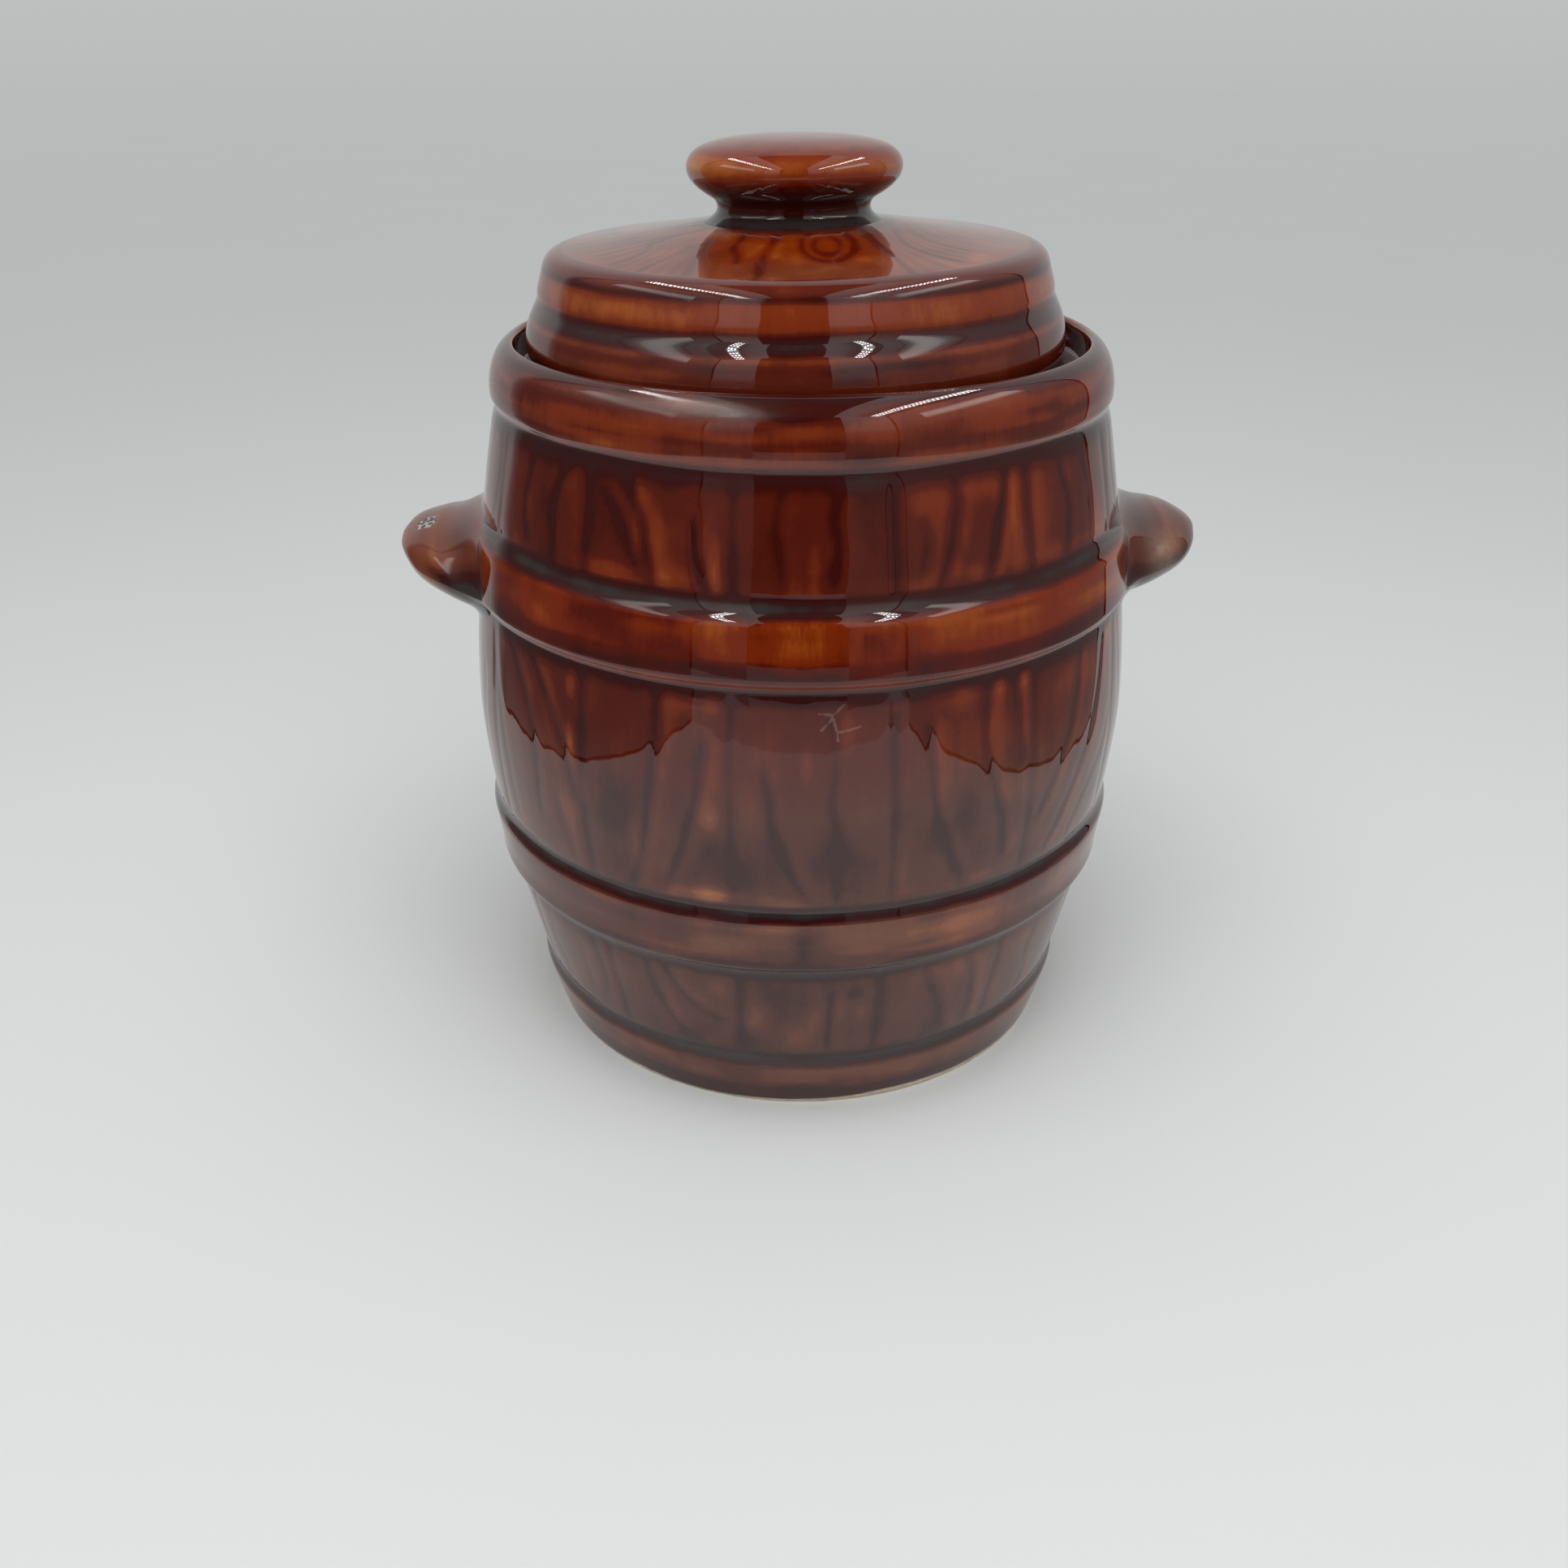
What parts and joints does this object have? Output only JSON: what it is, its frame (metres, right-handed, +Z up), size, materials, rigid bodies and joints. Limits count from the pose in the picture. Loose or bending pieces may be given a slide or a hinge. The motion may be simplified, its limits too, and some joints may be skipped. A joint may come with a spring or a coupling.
{
  "type": "stoneware crock",
  "caption": "Barrel-shaped glazed stoneware crock with raised hoops, side lug handles and a lift-off lid with a mushroom knob, for keeping dry food.",
  "frame": {"origin": "middle of the foot ring, on the table", "axes": "+Z up along the barrel's axis, lugs at -X and +X, front towards -Y"},
  "size_m": [0.2287, 0.19, 0.2515],
  "materials": {
    "crock_glaze": "glossy dark red-brown glaze, amber where thin, almost black where it pools",
    "lid_glaze": "the same glossy glaze, a little thinner and more amber on the lid and knob"
  },
  "bodies": {
    "crock": {"crock_body": "crock_glaze", "left_lug": "crock_glaze", "right_lug": "crock_glaze"},
    "lid": {"lid": "lid_glaze", "lid_knob": "lid_glaze"}
  },
  "joints": [
    {"name": "lid_lift", "type": "slide", "parent": "crock", "child": "lid", "axis": [0, 0, 1], "range_m": [0, 0.18]}
  ]
}
